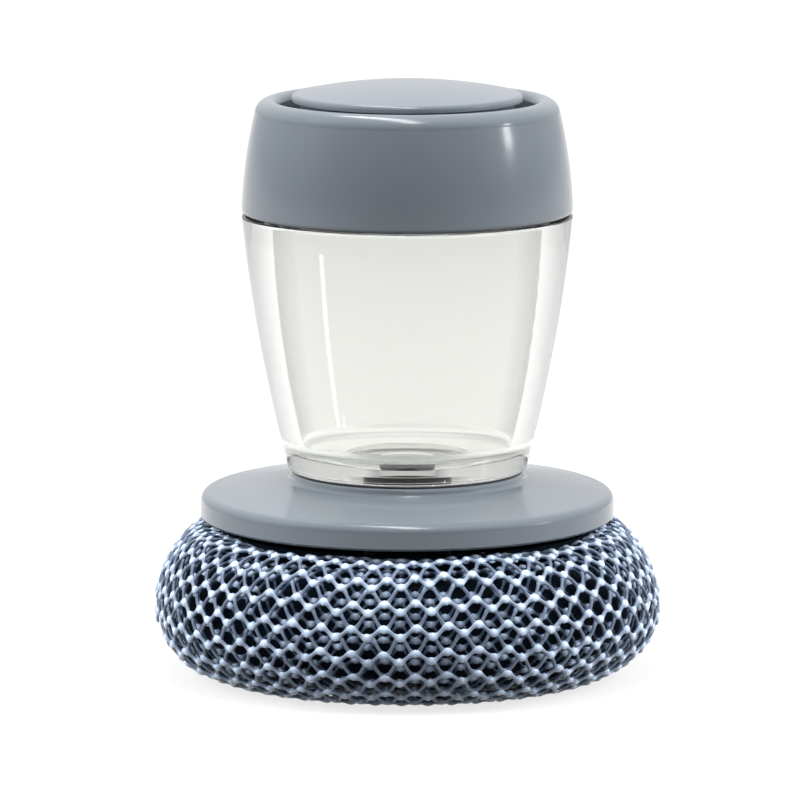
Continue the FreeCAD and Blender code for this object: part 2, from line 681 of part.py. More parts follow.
def vent_valve():
    """Umbrella valve: a flap under the pump plate, a stem through it and a bulb over it."""
    body = new_body("vent_valve")
    turn_profile(body, "Umbrella", [
        ("0", "pump_under - seat_gap - vent_flap_height"),
        ("vent_stem", "pump_under - seat_gap - vent_flap_height"),
        ("vent_flap", "pump_under - seat_gap - vent_flap_height / 2"),
        ("vent_flap", "pump_under - seat_gap"),
        ("vent_stem", "pump_under - seat_gap"),
        ("vent_stem", "pump_top + seat_gap"),
        ("vent_bulb", "pump_top + seat_gap"),
        ("vent_bulb", "pump_top + seat_gap + vent_bulb_height / 2"),
        ("vent_stem", "pump_top + seat_gap + vent_bulb_height"),
        ("0", "pump_top + seat_gap + vent_bulb_height"),
    ])
    body.setExpression("Placement.Base.x", bound("vent_place"))
    doc.recompute()
    return body


def pump_spring():
    """Return spring: one unbroken tube on quarter-turn arcs, between the bellows' flange and the button."""
    radius, wire, turns = value("spring_radius"), value("spring_wire"), value("spring_turns")
    bottom = value("spring_bottom") + wire / 2
    rise = value("spring_top") - wire / 2 - bottom

    def centre_line(turn):
        angle = 2 * math.pi * turn
        height = bottom + rise * turn / turns
        return FreeCAD.Vector(radius * math.cos(angle), radius * math.sin(angle), height)

    quarters = [quarter / 4 for quarter in range(round(4 * turns))]
    path = Part.Wire([
        Part.Arc(centre_line(start), centre_line(start + 1 / 8), centre_line(start + 1 / 4)).toShape()
        for start in quarters])
    along = centre_line(1e-4) - centre_line(0)
    section = Part.Wire([Part.Circle(centre_line(0), along, wire / 2).toShape()])
    spring = doc.addObject("Part::Feature", "pump_spring")
    spring.Label = "pump_spring"
    spring.Shape = path.makePipeShell([section], True, False)
    least = min((centre_line(start + 1) - centre_line(start)).Length for start in quarters[:-4])
    print(f"pump_spring: least gap to itself {least - wire:.2f} mm")
    return spring


def press_button():
    """Domed disc on a skirt whose flange the rim's lip holds, with seats for spring and bellows."""
    body = new_body("press_button")
    turn_profile(body, "Dome", [
        ("button_inside", "flange_bottom"),
        ("flange_radius", "flange_bottom"),
        ("flange_radius", "flange_top"),
        ("button_skirt", "flange_top"),
        ("button_skirt", "button_under"),
        ("button_radius", "button_under"),
        ("button_radius", "button_rim - button_edge", "button_edge", LEFT),
        ("button_shoulder", "button_rim", "dome_curve", LEFT),
        ("0", "button_apex"),
        ("0", "crown_ceiling"),
        ("crown_radius", "crown_ceiling"),
        ("crown_radius", "spring_ceiling"),
        ("button_inside", "spring_ceiling"),
    ])
    return body


SUB_PARTS = (
    mesh_scrubber, hub_clamp, gather_tie, base_plate, seat_gasket,
    soap_tank, outlet_valve, valve_ring,
    cap_gasket, cap_shell, pump_plate, pump_bellows, vent_valve, pump_spring,
    press_button,
)


def check_document(parts):
    """Refuse a failed feature or an unsound solid before anything is written."""
    for item in doc.Objects:
        if {"Invalid", "Error"} & set(item.State):
            raise RuntimeError(f"{item.Name} failed: {item.State}")
    for part in parts:
        if part.Shape.isNull() or not part.Shape.isValid() or len(part.Shape.Solids) != 1:
            raise RuntimeError(f"{part.Label} is not one sound solid")


def write_parts(parts):
    os.makedirs("parts", exist_ok=True)
    for part in parts:
        part.Shape.exportStep(f"parts/{part.Label}.step")
        print(f"{part.Label}: {part.Shape.Volume / 1000:.2f} cm3")


sub_parts = [make() for make in SUB_PARTS]
doc.recompute()
check_document(sub_parts)
write_parts(sub_parts)
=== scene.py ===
import json
import math
from collections import namedtuple
from functools import cached_property

import bpy
import numpy as np
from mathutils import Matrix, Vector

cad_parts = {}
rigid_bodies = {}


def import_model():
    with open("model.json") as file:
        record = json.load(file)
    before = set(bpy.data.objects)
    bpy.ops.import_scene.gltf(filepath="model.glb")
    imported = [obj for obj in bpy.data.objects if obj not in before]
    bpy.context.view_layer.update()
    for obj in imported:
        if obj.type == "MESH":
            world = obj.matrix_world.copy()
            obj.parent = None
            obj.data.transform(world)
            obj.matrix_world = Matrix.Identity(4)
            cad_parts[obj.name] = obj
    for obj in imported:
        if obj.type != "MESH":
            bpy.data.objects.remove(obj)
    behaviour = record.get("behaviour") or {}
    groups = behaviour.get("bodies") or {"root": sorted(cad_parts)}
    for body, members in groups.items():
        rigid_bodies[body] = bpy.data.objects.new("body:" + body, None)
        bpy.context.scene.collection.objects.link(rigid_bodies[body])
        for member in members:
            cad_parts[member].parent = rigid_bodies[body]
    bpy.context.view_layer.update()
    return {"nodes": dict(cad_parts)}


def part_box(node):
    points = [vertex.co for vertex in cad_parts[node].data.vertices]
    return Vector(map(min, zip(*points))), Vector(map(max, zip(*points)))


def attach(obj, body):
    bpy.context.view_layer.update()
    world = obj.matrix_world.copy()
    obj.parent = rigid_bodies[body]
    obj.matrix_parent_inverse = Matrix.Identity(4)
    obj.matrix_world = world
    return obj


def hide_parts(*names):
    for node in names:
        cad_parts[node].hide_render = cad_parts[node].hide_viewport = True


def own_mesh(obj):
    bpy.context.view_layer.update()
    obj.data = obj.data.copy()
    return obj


# Palm scrubber: knitted bun, grey plate, clear soap tank, grey screw cap with a push button.
# Metres, +Z up, the front is -Y.

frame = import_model()
nodes = frame["nodes"]
MM = 0.001

# The bun's outline, as radius and height.
BUN_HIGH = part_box("mesh_scrubber")[1]
BUN_RADIUS = BUN_HIGH.x
BUN_TOP = BUN_HIGH.z
EQUATOR = 12.2 * MM
SHOULDER = 36.0 * MM
RECESS = 16.6 * MM
RECESS_TOP = 4.7 * MM
GATHER = 31.5 * MM

# The net: rows of zigzag filament knotted peak to trough. Of two rows in a course, the thicker
# lies on top. The skin is split into two pieces at a row.
WALES = 51
COURSE = 4.3 * MM
FIRST_ROW = 1.2 * MM
SPLIT_ROW = 14
THICK_REACH = 0.72 * MM
THIN_REACH = COURSE / 2 - THICK_REACH
THICK = 0.34 * MM
THIN = 0.3 * MM
KNOT_DEPTH = 0.22 * MM
KNOT_SWELL = 1.25
SKIN_INSET = KNOT_DEPTH + THICK
LINING_DEPTH = 1.9 * MM

# How the net lies: tucked in under the plate, loose on the sides, and taut over the foot.
PLATE_GAP = 1.2 * MM
TUCK_END = 8.0 * MM
TUCK_FADE = 5.0 * MM
TAUT_SHARE = 0.62
TAUT_FADE = 8.0 * MM

# Hand-pulled looseness: swells outwards and drifts along, whose waves have rates in radians per metre,
# and a jitter of each stitch around (in stitches), along and outwards.
SWELL = 0.32 * MM
SWELL_RATE = 260
DRIFT = 0.7 * MM
DRIFT_RATE = 60
WAVES = 7
WAVES_AROUND = 2, 9
JITTER = 0.03, 0.1 * MM, 0.08 * MM

# The painted shade inside: a dark sheet under the net, standing in for the shade deep in the knit,
# thinned to every few points of its outline.
CORE_INSET = 3.7 * MM
CORE_SHEET = 1.0 * MM
CORE_NECK = 33.0 * MM
CORE_STRIDE = 6
CORE_SIDES = 120

# The tank's thick floor, which is frosted in a ring round the valve.
FLOOR_TOP = 41.0 * MM
FROST_RADIUS = 14.6 * MM
FROST_REACH = 3.9 * MM
FROST = 0.55

# Screw thread between neck and cap. Its ends and its fade are in turns, and its section in shares of
# depth and width.
LEAD = 4.0 * MM
NECK_RADIUS = 25.1 * MM
CAP_BORE = 26.0 * MM
THREAD_RISE = 1.3 * MM
THREAD_DEPTH = 0.45 * MM
THREAD_WIDTH = 1.2 * MM
THREAD_SECTION = np.array([(-0.1, -0.5), (1, -0.22), (1, 0.22), (-0.1, 0.5)])
THREAD_FADE = 0.1
THREAD_STEPS = 120
NECK_ENDS = 0, 1
CAP_ENDS = 0.4, 1.15

# Pump: spring and bellows under the button.
SPRING_RADIUS = 15.5 * MM
SPRING_WIRE = 0.45 * MM
SPRING_TURNS = 4
SPRING_STEPS = 64
SPRING_SIDES = 12
BELLOWS_RADIUS = 12.5 * MM
BELLOWS_FOLD = 2.3 * MM
BELLOWS_WALL = 1.2 * MM
BELLOWS_FLANGE = 16.6 * MM
BELLOWS_SHEET = 1.0 * MM
BELLOWS_EDGE = 0.3 * MM
BELLOWS_PINHOLE = 0.03 * MM
BELLOWS_FOLDS = 2
BELLOWS_STEPS = 25
BELLOWS_SIDES = 96

# Stage. Lamps are given by place, size, power in watts, and whether gloss and clear plastic show them.
FLOOR_HALF = 3.0
FLOOR_BOUNCE = (0.1, 0.1, 0.1)
FLOOR_SEEN = (0.2, 0.2, 0.2)
FLOOR_GLOW = 0.75
SKY_BRIGHT_SIDE = (0, 0.45, 0.89)
LAMPS = {
    "softbox_right": ((1.15, -0.16, 0.75), (0.9, 1.0), 25.0, False),
    "softbox_left": ((-1.15, -0.16, 0.75), (0.9, 1.0), 25.0, False),
    "softbox_top": ((-0.1, -0.03, 1.2), (1.5, 0.17), 11.0, True),
    "strip_right": ((1.1, -0.2, 0.345), (0.09, 0.11), 0.9, True),
}
LAMP_AIM = 50.0 * MM
LENS = 317.5
SENSOR = 36.0
CAMERA_PLACE = (-0.00126, -1.2, 0.2391)
CAMERA_TILT = math.radians(80.91)

# Colours, in linear light.
GREY = (0.131, 0.151, 0.173)
DARK_GREY = (0.02, 0.021, 0.023)
# Painted shade on the clear tank's edge.
EDGE_SHADE_GREY = (0.06, 0.065, 0.075)
OFF_WHITE = (0.82, 0.82, 0.80)
CLEAR = (0.836, 0.842, 0.818)
MILKY = (0.72, 0.73, 0.72)
BLACK_RUBBER = (0.015, 0.015, 0.017)
STEEL = (0.6, 0.6, 0.6)
# Painted light on the net: the filament's colour runs from the deep blue, painted shade down in the
# knit, to the pale blue, a painted highlight on the knots.
PALE_BLUE = (0.6, 0.735, 0.94)
# The lining's deep end is painted shade, for the lining lies under the net.
LINING_SHADE_BLUE = (0.012, 0.033, 0.072)
KNIT_SHADE_BLUE = (0.008, 0.025, 0.07)
# The dark sheet inside the net: painted shade.
CORE_SHADE_BLUE = (0.004, 0.007, 0.013)


def smooth_step(x):
    """A soft ramp from 0 to 1."""
    x = np.clip(x, 0, 1)
    return x * x * (3 - 2 * x)


def new_piece(name, points, faces, material, body, slot, *stood_for, shade=None):
    """A smooth mesh that rides on a body and may stand for solids of the frame.

    Shade is a number kept for each point: painted light that a filament's colour follows, low for
    painted shade and high for a painted highlight.
    """
    mesh = bpy.data.meshes.new(name)
    mesh.from_pydata(points.tolist(), [], faces.tolist())
    mesh.shade_smooth()
    mesh.materials.append(material)
    if shade is not None:
        mesh.attributes.new("shade", "FLOAT", "POINT").data.foreach_set("value", shade)
    piece = bpy.data.objects.new(name, mesh)
    bpy.context.scene.collection.objects.link(piece)
    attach(piece, body)
    if stood_for:
        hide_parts(*stood_for)
    return piece


def grid_faces(rows, columns, closed_rows, start=0):
    """Quads over a grid of points whose columns close into rings, and whose rows may close too."""
    row = np.arange(rows if closed_rows else rows - 1)[:, None]
    column = np.arange(columns)[None, :]
    ahead, beside = (row + 1) % rows, (column + 1) % columns
    quads = np.stack([row * columns + column, row * columns + beside,
                      ahead * columns + beside, ahead * columns + column], axis=-1)
    return quads.reshape(-1, 4) + start


def tube(path, up, width, height, sides, closed):
    """Points of a tube along a path, ring after ring.

    Width and height are half axes, height along up.
    """
    if closed:
        along = np.roll(path, -1, axis=0) - np.roll(path, 1, axis=0)
    else:
        along = np.gradient(path, axis=0)
    along /= np.linalg.norm(along, axis=1, keepdims=True)
    across = np.cross(along, up)
    across /= np.linalg.norm(across, axis=1, keepdims=True)
    over = np.cross(across, along)
    turn = np.linspace(0, 2 * math.pi, sides, endpoint=False)[None, :, None]
    width = np.broadcast_to(width, len(path))[:, None, None]
    ring = over[:, None] * height * np.cos(turn) - across[:, None] * width * np.sin(turn)
    return (path[:, None] + ring).reshape(-1, 3)


def lathe(profile, sides):
    """Points and faces of a closed profile of radius and height turned about the axis."""
    turn = np.linspace(0, 2 * math.pi, sides, endpoint=False)
    radius, height = np.array(profile).T
    points = np.stack([np.outer(radius, np.cos(turn)), np.outer(radius, np.sin(turn)),
                       np.repeat(height[:, None], sides, axis=1)], axis=-1)
    return points.reshape(-1, 3), grid_faces(len(radius), sides, True)[:, ::-1]


class NodeTree:
    """A node tree, with short ways to add, set and link nodes."""

    def __init__(self, tree):
        self.tree = tree

    def fill(self, node, values):
        """Set a node's sockets to constants, or link other nodes' outputs to them."""
        for key, value in values.items():
            if isinstance(value, bpy.types.NodeSocket):
                self.tree.links.new(value, node.inputs[key])
            else:
                node.inputs[key].default_value = value

    def add(self, kind, values=None, **settings):
        """A new node, with values for its sockets and settings for its properties."""
        node = self.tree.nodes.new(kind)
        for key, setting in settings.items():
            setattr(node, key, setting)
        self.fill(node, values or {})
        return node

    def math(self, operation, *terms):
        """Arithmetic on numbers or on other nodes' outputs."""
        node = self.add("ShaderNodeMath", dict(enumerate(terms)), operation=operation)
        return node.outputs["Value"]


class Shader(NodeTree):
    """A material's node tree, with the textures that the surfaces share."""

    # Nearly all of a noise lies between these.
    NOISE_LOW, NOISE_HIGH = 0.2, 0.8

    def __init__(self, name):
        self.material = bpy.data.materials.new(name)
        self.material.use_nodes = True
        super().__init__(self.material.node_tree)
        self.surface = self.tree.nodes["Principled BSDF"]

    @cached_property
    def place(self):
        return self.add("ShaderNodeTexCoord").outputs["Object"]

    def noise(self, scale, detail=3, stretch=None):
        place = self.place
        if stretch:
            mapping = self.add("ShaderNodeMapping", {"Vector": place, "Scale": stretch})
            place = mapping.outputs["Vector"]
        values = {"Vector": place, "Scale": scale, "Detail": detail}
        return self.add("ShaderNodeTexNoise", values).outputs["Fac"]

    def spread(self, fac, low, high):
        """Map a noise onto a range of numbers."""
        node = self.add("ShaderNodeMapRange", {
            "Value": fac,
            "From Min": self.NOISE_LOW, "From Max": self.NOISE_HIGH,
            "To Min": low, "To Max": high,
        })
        return node.outputs["Result"]

    def ramp(self, fac, low, high, start=NOISE_LOW, end=NOISE_HIGH):
        """Map a texture onto the colours between two."""
        node = self.add("ShaderNodeValToRGB", {"Fac": fac})
        node.color_ramp.elements[0].position = start
        node.color_ramp.elements[1].position = end
        node.color_ramp.elements[0].color = (*low, 1)
        node.color_ramp.elements[1].color = (*high, 1)
        return node.outputs["Color"]

    def bump(self, fac, height):
        node = self.add("ShaderNodeBump", {"Height": fac, "Distance": height})
        return node.outputs["Normal"]

    def clear_where(self, fac, closure):
        """End the material in a closure that lets all light through where fac is one."""
        clear = self.add("ShaderNodeBsdfTransparent").outputs["BSDF"]
        mix = self.add("ShaderNodeMixShader", {"Fac": fac, 1: closure, 2: clear})
        self.fill(self.tree.nodes["Material Output"], {"Surface": mix.outputs["Shader"]})


def shades(colour, spread):
    """A darker and a lighter shade of a colour."""
    return [tuple(channel * (1 + side * spread) for channel in colour) for side in (-1, 1)]


def worn(roughness):
    """The range of roughness on a handled surface."""
    return roughness * 0.85, roughness * 1.15


def moulded_plastic(name, colour, roughness, grain=0.01 * MM):
    """Moulded plastic: faint flow marks in colour and gloss, and a fine grain."""
    shader = Shader(name)
    flow = shader.noise(scale=60, detail=2, stretch=(1, 1, 0.35))
    shader.fill(shader.surface, {
        "Base Color": shader.ramp(flow, *shades(colour, spread=0.03)),
        "Roughness": shader.spread(shader.noise(scale=180), *worn(roughness)),
        "Normal": shader.bump(shader.noise(scale=2500), grain),
    })
    return shader.material


def clear_plastic(name, colour):
    """Clear thick plastic. Lamps shine through it.

    Its wall is painted grey at grazing angles, a painted shade for the dark edge that thick clear
    walls show, and its floor has a frosted ring.
    """
    shader = Shader(name)
    axes = shader.add("ShaderNodeSeparateXYZ", {"Vector": shader.place}).outputs
    wall = shader.math("GREATER_THAN", axes["Z"], FLOOR_TOP)
    # Painted shade: the wall's colour turns grey where it is seen at a grazing angle.
    facing = shader.add("ShaderNodeLayerWeight").outputs["Facing"]
    edge = shader.math("MULTIPLY", wall, facing)
    squares = [shader.math("POWER", axes[axis], 2.0) for axis in "XY"]
    radius = shader.math("SQRT", shader.math("ADD", *squares))
    ring = shader.math("COMPARE", radius, FROST_RADIUS, FROST_REACH)
    frost = shader.math("MULTIPLY", ring, shader.math("SUBTRACT", 1.0, wall))
    waves = shader.noise(scale=70, detail=2, stretch=(1, 1, 0.3))
    shader.fill(shader.surface, {
        "Base Color": shader.ramp(edge, colour, EDGE_SHADE_GREY, start=0.42, end=0.92),
        "Roughness": shader.spread(shader.noise(scale=90), 0.01, 0.03),
        "Normal": shader.bump(waves, 0.02 * MM),
        "IOR": 1.49,
        "Transmission Weight": shader.math("MULTIPLY_ADD", frost, -FROST, 1.0),
    })
    shadow = shader.add("ShaderNodeLightPath").outputs["Is Shadow Ray"]
    shader.clear_where(shadow, shader.surface.outputs["BSDF"])
    return shader.material


def glossy_filament(name, shaded_colour, light, gloss):
    """Drawn filament: glossy, its colour painted deeper down in the knit as painted shade and pale at
    the knots as a painted highlight, this painted light wandering along it.
    """
    shader = Shader(name)
    # Half the noise, about one half.
    wander = shader.math("MULTIPLY_ADD", shader.noise(scale=160, detail=2), 0.5, 0.25)
    # Painted light: the shade attribute paints the legs dark down in the knit and the knots pale.
    depth = shader.add("ShaderNodeAttribute", attribute_name="shade").outputs["Fac"]
    shade = shader.math("MULTIPLY", wander, depth)
    shader.fill(shader.surface, {
        "Base Color": shader.ramp(shade, shaded_colour, light, start=0.0, end=0.6),
        "Roughness": shader.spread(shader.noise(scale=900), 0.18, 0.32),
        "Normal": shader.bump(shader.noise(scale=4000, detail=1), 0.03 * MM),
        "Specular IOR Level": gloss,
    })
    return shader.material


def soft_rubber(name, colour, roughness, glow=0.0, gloss=0.5):
    """Moulded rubber: matt and dusty, or milky where light goes into it."""
    shader = Shader(name)
    shader.fill(shader.surface, {
        "Base Color": shader.ramp(shader.noise(scale=220), *shades(colour, spread=0.06)),
        "Roughness": shader.spread(shader.noise(scale=700), *worn(roughness)),
        "Normal": shader.bump(shader.noise(scale=3000), 0.02 * MM),
        "Subsurface Weight": glow,
        "Subsurface Scale": 1.5 * MM,
        "Specular IOR Level": gloss,
    })
    return shader.material


def drawn_steel(name, colour):
    """Drawn wire: bright metal with fine marks along it."""
    shader = Shader(name)
    shader.fill(shader.surface, {
        "Base Color": shader.ramp(shader.noise(scale=500), *shades(colour, spread=0.08)),
        "Roughness": shader.spread(shader.noise(scale=1200), 0.2, 0.38),
        "Normal": shader.bump(shader.noise(scale=5000), 0.01 * MM),
        "Metallic": 1.0,
    })
    return shader.material


grey_shell = moulded_plastic("grey_shell", GREY, 0.17)
grey_inner = moulded_plastic("grey_inner", GREY, 0.45, grain=0.03 * MM)
dark_inner = moulded_plastic("dark_inner", DARK_GREY, 0.45)
white_inner = moulded_plastic("white_inner", OFF_WHITE, 0.4)
clear_tank = clear_plastic("clear_tank", CLEAR)
filament = glossy_filament("mesh_filament", KNIT_SHADE_BLUE, PALE_BLUE, 0.6)
inner_filament = glossy_filament("mesh_lining", LINING_SHADE_BLUE, PALE_BLUE, 0.2)
# Painted shade: the colour of the dark sheet inside the net.
painted_shade_sheet = soft_rubber("mesh_painted_shade", CORE_SHADE_BLUE, 0.7, gloss=0.05)
dark_seal = soft_rubber("dark_seal", BLACK_RUBBER, 0.55)
soft_silicone = soft_rubber("soft_silicone", MILKY, 0.4, glow=0.3)
spring_steel = drawn_steel("spring_steel", STEEL)

NODE_MATERIALS = {
    "mesh_scrubber": filament,
    "hub_clamp": grey_inner,
    "gather_tie": white_inner,
    "base_plate": grey_shell,
    "seat_gasket": dark_seal,
    "soap_tank": clear_tank,
    "outlet_valve": dark_seal,
    "valve_ring": dark_inner,
    "cap_gasket": soft_silicone,
    "cap_shell": grey_shell,
    "pump_plate": white_inner,
    "pump_bellows": soft_silicone,
    "pump_spring": spring_steel,
    "vent_valve": soft_silicone,
    "press_button": grey_shell,
}
for node, material in NODE_MATERIALS.items():
    nodes[node].data.materials.clear()
    nodes[node].data.materials.append(material)


class Meridian:
    """The bun's outline pushed in by an inset, from under the plate round to the hub's recess."""

    STEP = 0.1 * MM
    CORNER = 1.1 * MM
    ARC_POINTS = 200

    def __init__(self, inset):
        reach = BUN_RADIUS - SHOULDER
        rise = BUN_TOP - EQUATOR
        upper = (reach ** 2 + rise ** 2) / (2 * reach)
        first = math.asin((rise - inset) / (upper - inset))
        line = np.concatenate([
            [(GATHER, BUN_TOP - inset)],
            self.arc(upper, inset, first, 0),
            self.arc(EQUATOR, inset, 0, -math.pi / 2),
            [(RECESS + inset, inset), (RECESS + inset, max(RECESS_TOP, inset + MM))],
        ])
        self.line = self.rounded(self.resampled(line))
        self.length = len(self.line) * self.STEP
        along = np.gradient(self.line, axis=0)
        along /= np.linalg.norm(along, axis=1, keepdims=True)
        self.normal = np.stack([-along[:, 1], along[:, 0]], axis=1)

    def arc(self, radius, inset, first, last):
        """An arc that touches the bun's side at the equator, pushed in by the inset."""
        turn = np.linspace(first, last, self.ARC_POINTS)
        return np.stack([BUN_RADIUS - radius + (radius - inset) * np.cos(turn),
                         EQUATOR + (radius - inset) * np.sin(turn)], axis=1)

    def resampled(self, line):
        """The line in even steps."""
        place = np.concatenate([[0], np.cumsum(np.linalg.norm(np.diff(line, axis=0), axis=1))])
        steps = np.arange(0, place[-1], self.STEP)
        return np.stack([np.interp(steps, place, line[:, axis]) for axis in (0, 1)], axis=1)

    def rounded(self, line):
        """The line averaged along itself, so that its corners become round."""
        half = round(2 * self.CORNER / self.STEP)
        weight = np.exp(-0.5 * (np.arange(-half, half + 1) * self.STEP / self.CORNER) ** 2)
        weight /= weight.sum()
        padded = np.pad(line, ((half, half), (0, 0)), mode="reflect", reflect_type="odd")
        return np.stack([np.convolve(padded[:, axis], weight, "valid") for axis in (0, 1)], axis=1)

    def at(self, place, turn, out):
        """Points and normals at a place along the line, an angle about the axis and a height out."""
        steps = np.arange(len(self.line)) * self.STEP
        radius, height, across, up = [
            np.interp(place, steps, column) for column in (*self.line.T, *self.normal.T)]
        normal = np.stack([across * np.cos(turn), across * np.sin(turn), up], axis=1)
        point = np.stack([radius * np.cos(turn), radius * np.sin(turn), height], axis=1)
        return point + normal * out[:, None], normal


# A layer of net: points to a stitch, sides and gauge of the filament, and the painted light of its
# thick and thin rows. A tone is the paleness painted on a row's legs, as painted shade, and on its
# knots, as a painted highlight.
Layer = namedtuple("Layer", "material seed depth start detail sides gauge thick_tone thin_tone")


def seeded_waves(chance, rate):
    """A few waves: their number around, their rate along the outline and their phase."""
    return [(chance.integers(*WAVES_AROUND), chance.uniform(-rate, rate),
             chance.uniform(0, 2 * math.pi)) for _ in range(WAVES)]


def swell(place, turn, waves):
    """Soft hollows and swells from a few waves."""
    total = np.zeros_like(turn)
    for around, along, phase in waves:
        total += np.sin(around * turn + along * place + phase)
    return total / math.sqrt(len(waves))


def net_piece(name, layer, chosen):
    """The chosen rows of a layer of zigzag filament over the bun."""
    chance = np.random.default_rng(layer.seed)
    meridian = Meridian(SKIN_INSET)
    swells, drifts = seeded_waves(chance, SWELL_RATE), seeded_waves(chance, DRIFT_RATE)
    rows = 2 * round(meridian.length / COURSE)
    jitter = chance.normal(0, 1, (rows, WALES, 3)) * JITTER
    stitch = np.arange(WALES * layer.detail) / layer.detail
    whole = stitch.astype(int)
    share = smooth_step(stitch - whole)[:, None]
    zigzag = np.cos(2 * math.pi * stitch)
    knot = zigzag ** 2
    points, faces, shade, count = [], [], [], 0
    for row in range(rows)[chosen]:
        on_top = row % 2 == 0
        side, reach, height = (1, THICK_REACH, THICK) if on_top else (-1, THIN_REACH, THIN)
        loose = jitter[row, whole] * (1 - share) + jitter[row, (whole + 1) % WALES] * share
        turn = 2 * math.pi * (stitch + loose[:, 0]) / WALES
        place = layer.start + row * COURSE / 2 + side * reach * zigzag + loose[:, 1]
        soft = smooth_step((meridian.length * TAUT_SHARE - place) / TAUT_FADE)
        lift = SWELL * swell(place, turn, swells) + loose[:, 2]
        sink = PLATE_GAP * smooth_step((TUCK_END - place) / TUCK_FADE)
        out = side * KNOT_DEPTH * knot + lift * soft - sink - layer.depth
        path, up = meridian.at(place + DRIFT * swell(place, turn, drifts) * soft, turn, out)
        width = layer.gauge * height * (1 + KNOT_SWELL * knot ** 1.5)
        points.append(tube(path, up, width, layer.gauge * height, layer.sides, True))
        faces.append(grid_faces(len(path), layer.sides, True, count))
        # Painted light: the legs and the thin rows lying under get painted shade, the knots a painted
        # highlight.
        legs, knots = layer.thick_tone if on_top else layer.thin_tone
        shade.append(np.repeat(legs + (knots - legs) * knot ** 2, layer.sides))
        count += len(points[-1])
    return new_piece(name, np.concatenate(points), np.concatenate(faces), layer.material,
                     "head", "mesh_filament", "mesh_scrubber", shade=np.concatenate(shade))


def bun():
    """Two layers of net over a dark sheet of painted shade. The lining's knots show in the middle of
    the holes.
    """
    skin = Layer(filament, seed=11, depth=0, start=FIRST_ROW, detail=16, sides=8,
                 gauge=1.0, thick_tone=(0.4, 1.15), thin_tone=(0.2, 0.7))
    # Painted shade: the lining lies under the net, so its legs are painted nearly black; its knots
    # keep a painted highlight.
    lining = Layer(inner_filament, seed=23, depth=LINING_DEPTH, start=FIRST_ROW + COURSE / 2,
                   detail=12, sides=6,
                   gauge=0.85, thick_tone=(0.05, 0.95), thin_tone=(0.05, 0.55))
    net_piece("net_upper", skin, slice(None, SPLIT_ROW))
    net_piece("net_lower", skin, slice(SPLIT_ROW, None))
    net_piece("net_lining", lining, slice(None))
    # Painted shade: a dark sheet under the lining, where the knit is in shade.
    outside, inside = [Meridian(inset).line[::CORE_STRIDE]
                       for inset in (CORE_INSET, CORE_INSET + CORE_SHEET)]
    neck = [(CORE_NECK - CORE_SHEET, BUN_TOP - CORE_SHEET), (CORE_NECK, BUN_TOP - CORE_SHEET)]
    points, faces = lathe(np.concatenate([neck, outside, inside[::-1]]), CORE_SIDES)
    new_piece("net_shade_sheet", points, faces, painted_shade_sheet, "head", "mesh_filament", "mesh_scrubber")


def shorten_with_button(piece):
    """Give a piece a mesh of its own; it is not squashed by the button's stroke."""
    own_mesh(piece)


def spring():
    """Smooth round wire in place of the jointed one."""
    low, high = [corner.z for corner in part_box("pump_spring")]
    steps = np.linspace(0, 1, SPRING_TURNS * SPRING_STEPS + 1)
    turn = 2 * math.pi * SPRING_TURNS * steps
    level = low + SPRING_WIRE + (high - low - 2 * SPRING_WIRE) * steps
    path = np.stack([SPRING_RADIUS * np.cos(turn), SPRING_RADIUS * np.sin(turn), level], axis=1)
    up = np.tile((0.0, 0.0, 1.0), (len(path), 1))
    points = tube(path, up, SPRING_WIRE, SPRING_WIRE, SPRING_SIDES, False)
    faces = grid_faces(len(path), SPRING_SIDES, False)
    piece = new_piece("spring_wire", points, faces, spring_steel,
                      "cap", "spring_steel", "pump_spring")
    shorten_with_button(piece)


def bellows():
    """Soft bellows with rounded folds, a flange at the foot and a closed top."""
    low, high = [corner.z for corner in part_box("pump_bellows")]
    fold_low, fold_high = low + BELLOWS_SHEET, high - BELLOWS_SHEET
    share = np.linspace(0, 1, BELLOWS_STEPS * BELLOWS_FOLDS + 1)
    depth = BELLOWS_FOLD * (1 - np.cos(2 * math.pi * BELLOWS_FOLDS * share)) / 2
    level = fold_low + (fold_high - fold_low) * share
    outside = list(zip(BELLOWS_RADIUS - depth, level))
    inside = list(zip(BELLOWS_RADIUS - BELLOWS_WALL - depth, level))
    profile = [
        (BELLOWS_RADIUS - BELLOWS_WALL, low),
        (BELLOWS_FLANGE - BELLOWS_EDGE, low), (BELLOWS_FLANGE, low + BELLOWS_EDGE),
        (BELLOWS_FLANGE, fold_low - BELLOWS_EDGE), (BELLOWS_FLANGE - BELLOWS_EDGE, fold_low),
        *outside,
        (BELLOWS_RADIUS, high - BELLOWS_EDGE), (BELLOWS_RADIUS - BELLOWS_EDGE, high),
        (BELLOWS_PINHOLE, high), (BELLOWS_PINHOLE, fold_high),
        *reversed(inside),
    ]
    points, faces = lathe(profile, BELLOWS_SIDES)
    piece = new_piece("bellows_skin", points, faces, soft_silicone,
                      "cap", "soft_silicone", "pump_bellows")
    shorten_with_button(piece)


def thread_ridge(name, radius, depth, start, ends, material, body, slot):
    """A tapered helical ridge of trapezoid section, on the neck or in the cap's bore."""
    first, last = ends
    steps = np.linspace(first, last, round((last - first) * THREAD_STEPS) + 1)
    turn = 2 * math.pi * steps[:, None]
    fade = smooth_step((steps - first) / THREAD_FADE) * smooth_step((last - steps) / THREAD_FADE)
    across = radius + depth * np.outer(fade, THREAD_SECTION[:, 0])
    level = start + LEAD * steps[:, None] + THREAD_WIDTH * THREAD_SECTION[None, :, 1]
    points = np.stack([across * np.cos(turn), across * np.sin(turn), level], axis=-1)
    faces = grid_faces(len(steps), len(THREAD_SECTION), False)
    new_piece(name, points.reshape(-1, 3), faces, material, body, slot)


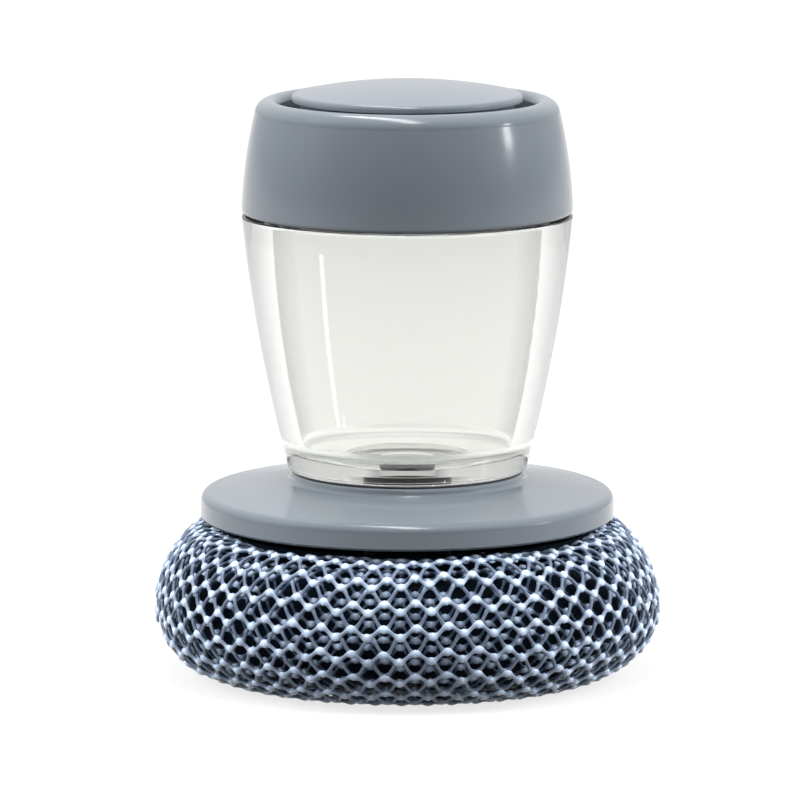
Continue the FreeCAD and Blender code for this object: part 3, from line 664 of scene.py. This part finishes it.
def threads():
    """One turn on the neck, and the cap's ridge half a lead below it."""
    neck_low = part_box("cap_shell")[0].z + THREAD_RISE
    thread_ridge("neck_thread", NECK_RADIUS, THREAD_DEPTH, neck_low, NECK_ENDS,
                 clear_tank, "tank", "clear_tank")
    thread_ridge("cap_thread", CAP_BORE, -THREAD_DEPTH, neck_low - LEAD / 2, CAP_ENDS,
                 grey_shell, "cap", "grey_shell")


def white_floor():
    """A floor that is seen white, takes the shadow, and throws little light back up.

    It counts as seen straight, in gloss or through the clear tank. From below it is clear.
    """
    corners = [(-1, -1), (1, -1), (1, 1), (-1, 1)]
    mesh = bpy.data.meshes.new("floor")
    mesh.from_pydata([(FLOOR_HALF * x, FLOOR_HALF * y, 0) for x, y in corners], [], [(0, 1, 2, 3)])
    shader = Shader("floor")
    rays = shader.add("ShaderNodeLightPath").outputs
    seen = shader.math("MAXIMUM", rays["Is Camera Ray"], rays["Is Glossy Ray"])
    seen = shader.math("MAXIMUM", seen, rays["Is Transmission Ray"])
    shader.fill(shader.surface, {
        "Base Color": shader.ramp(seen, FLOOR_BOUNCE, FLOOR_SEEN),
        "Roughness": 0.9,
        "Specular IOR Level": 0.1,
    })
    glow = shader.add("ShaderNodeEmission", {"Strength": shader.math("MULTIPLY", seen, FLOOR_GLOW)})
    both = shader.add("ShaderNodeAddShader", {0: shader.surface.outputs["BSDF"],
                                              1: glow.outputs["Emission"]})
    below = shader.add("ShaderNodeNewGeometry").outputs["Backfacing"]
    shader.clear_where(below, both.outputs["Shader"])
    mesh.materials.append(shader.material)
    floor = bpy.data.objects.new("floor", mesh)
    bpy.context.scene.collection.objects.link(floor)


def soft_world():
    """Seen white. As light it is a studio dome, brightest overhead and behind, dim at the front."""
    world = bpy.data.worlds.new("studio")
    bpy.context.scene.world = world
    world.use_nodes = True
    sky = NodeTree(world.node_tree)
    direction = sky.add("ShaderNodeTexCoord").outputs["Generated"]
    height = sky.add("ShaderNodeVectorMath", {0: direction, 1: SKY_BRIGHT_SIDE},
                     operation="DOT_PRODUCT")
    dome = sky.add("ShaderNodeMapRange", {
        "Value": height.outputs["Value"],
        "From Min": -0.3, "From Max": 0.8,
        "To Min": 0.12, "To Max": 1.05,
    })
    seen = sky.add("ShaderNodeLightPath").outputs["Is Camera Ray"]
    sky.fill(sky.tree.nodes["Background"], {
        "Color": (1, 1, 1, 1),
        "Strength": sky.math("MAXIMUM", dome.outputs["Result"], seen),
    })


def softbox(name, place, size, power, in_gloss):
    """A rectangular lamp that looks at the middle of the object."""
    lamp = bpy.data.lights.new(name, "AREA")
    lamp.shape = "RECTANGLE"
    lamp.size, lamp.size_y = size
    lamp.energy = power
    holder = bpy.data.objects.new(name, lamp)
    holder.location = place
    aim = bpy.data.objects["body:head"].location - holder.location
    aim.z += LAMP_AIM
    holder.rotation_euler = aim.to_track_quat("-Z", "Y").to_euler()
    holder.visible_camera = False
    holder.visible_glossy = in_gloss
    holder.visible_transmission = in_gloss
    bpy.context.scene.collection.objects.link(holder)


def camera():
    """The photograph's view: from the front, a little from above, with a long lens."""
    lens = bpy.data.cameras.new("camera")
    lens.lens = LENS
    lens.sensor_width = SENSOR
    holder = bpy.data.objects.new("camera", lens)
    holder.location = CAMERA_PLACE
    holder.rotation_euler = (CAMERA_TILT, 0, 0)
    bpy.context.scene.collection.objects.link(holder)
    bpy.context.scene.camera = holder


bun()
spring()
bellows()
threads()
white_floor()
soft_world()
for name, settings in LAMPS.items():
    softbox(name, *settings)
camera()
bpy.context.scene.view_settings.view_transform = "Standard"
